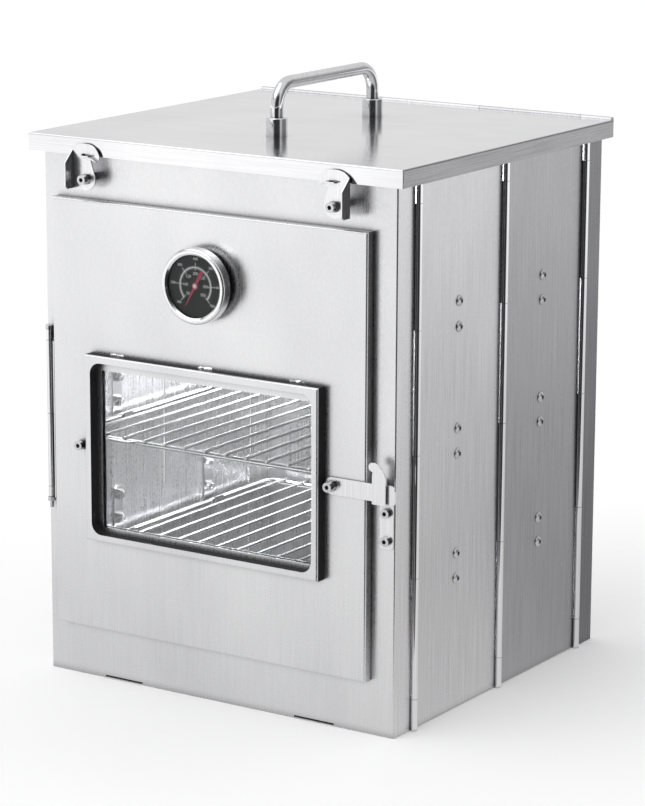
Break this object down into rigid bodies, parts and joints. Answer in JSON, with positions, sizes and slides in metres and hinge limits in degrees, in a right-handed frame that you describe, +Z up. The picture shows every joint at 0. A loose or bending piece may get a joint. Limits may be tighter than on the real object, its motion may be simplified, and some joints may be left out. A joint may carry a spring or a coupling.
{
  "type": "smoker cabinet",
  "caption": "Upright steel smoker cabinet with a glazed front door, hinged lid, folding side panels, dial gauge, lid handle and wire racks.",
  "frame": {"origin": "middle of the bounding box, on the ground", "axes": "+Z up, -Y the door side, +X to the right seen from the door"},
  "size_m": [0.318, 0.3152, 0.446],
  "materials": {
    "brushed_panel": "vertical brushed grain",
    "frame_steel": "fine satin",
    "bright_steel": "bright rolled sheet",
    "tray_steel": "satin",
    "rack_wire": "bright plated wire",
    "chrome": "mirror",
    "fastener": "plated",
    "window_glass": "clear",
    "lens": "clear",
    "dial": "matt black with white scale",
    "needle": "red"
  },
  "bodies": {
    "cabinet": {"back_shell": "brushed_panel", "bracket_nuts": "fastener", "bracket_screws": "fastener", "catch_screws": "fastener", "door_hinge_bolt": "fastener", "door_hinge_frame_leaf": "bright_steel", "door_hinge_nut": "fastener", "floor_tray": "tray_steel", "front_shell": "brushed_panel", "hook_screws": "fastener", "hook_spacers": "fastener", "latch_catch": "bright_steel", "left_front_hinge_pin": "fastener", "left_front_lower_bracket": "bright_steel", "left_front_middle_bracket": "bright_steel", "left_front_panel": "brushed_panel", "left_front_upper_bracket": "bright_steel", "left_middle_hinge_pin": "fastener", "left_rear_hinge_pin": "fastener", "left_rear_lower_bracket": "bright_steel", "left_rear_middle_bracket": "bright_steel", "left_rear_panel": "brushed_panel", "left_rear_upper_bracket": "bright_steel", "lid_hinge_pin": "fastener", "right_front_hinge_pin": "fastener", "right_front_lower_bracket": "bright_steel", "right_front_middle_bracket": "bright_steel", "right_front_panel": "brushed_panel", "right_front_upper_bracket": "bright_steel", "right_middle_hinge_pin": "fastener", "right_rear_hinge_pin": "fastener", "right_rear_lower_bracket": "bright_steel", "right_rear_middle_bracket": "bright_steel", "right_rear_panel": "brushed_panel", "right_rear_upper_bracket": "bright_steel", "shell_nuts": "fastener"},
    "door": {"door_panel": "brushed_panel", "door_hinge_door_leaf": "bright_steel", "window_frame": "frame_steel", "window_glass": "window_glass", "glass_retainer": "bright_steel", "door_screws": "fastener", "door_nuts": "fastener", "gauge_case": "bright_steel", "gauge_bezel": "chrome", "gauge_dial": "dial", "gauge_lens": "lens", "gauge_stem": "fastener", "gauge_nut": "fastener"},
    "needle": {"gauge_needle": "needle"},
    "latch": {"latch_bar": "bright_steel"},
    "lid": {"lid_panel": "brushed_panel", "handle_feet": "chrome", "handle_pins": "chrome", "handle_screws": "fastener"},
    "handle": {"handle_bail": "chrome"},
    "left_hook": {"left_lid_hook": "bright_steel"},
    "right_hook": {"right_lid_hook": "bright_steel"},
    "upper_rack": {"upper_rack": "rack_wire"},
    "lower_rack": {"lower_rack": "rack_wire"}
  },
  "joints": [
    {"name": "door_hinge", "type": "hinge", "parent": "cabinet", "child": "door", "pos_m": [-0.145, -0.1396, 0.197], "axis": [0, 0, -1], "range_deg": [0, 175]},
    {"name": "latch_pivot", "type": "hinge", "parent": "door", "child": "latch", "pos_m": [0.1045, -0.1436, 0.1786], "axis": [0, -1, 0], "range_deg": [0, 88]},
    {"name": "gauge_pointer", "type": "hinge", "parent": "door", "child": "needle", "pos_m": [-0.0038, -0.1535, 0.3092], "axis": [0, 1, 0], "range_deg": [0, 290]},
    {"name": "lid_hinge", "type": "hinge", "parent": "cabinet", "child": "lid", "pos_m": [0, 0.1551, 0.4035], "axis": [-1, 0, 0], "range_deg": [0, 235]},
    {"name": "handle_fold", "type": "hinge", "parent": "lid", "child": "handle", "pos_m": [0, 0.00625, 0.4126], "axis": [0, -1, 0], "range_deg": [0, 90]},
    {"name": "left_hook_pivot", "type": "hinge", "parent": "cabinet", "child": "left_hook", "pos_m": [-0.1058, -0.1443, 0.3745], "axis": [0, -1, 0], "range_deg": [0, 90]},
    {"name": "right_hook_pivot", "type": "hinge", "parent": "cabinet", "child": "right_hook", "pos_m": [0.1058, -0.1443, 0.3745], "axis": [0, 1, 0], "range_deg": [0, 90]},
    {"name": "upper_rack_lift", "type": "slide", "parent": "cabinet", "child": "upper_rack", "axis": [0, 0, 1], "range_m": [0, 0.06]},
    {"name": "lower_rack_lift", "type": "slide", "parent": "cabinet", "child": "lower_rack", "axis": [0, 0, 1], "range_m": [0, 0.06]}
  ]
}
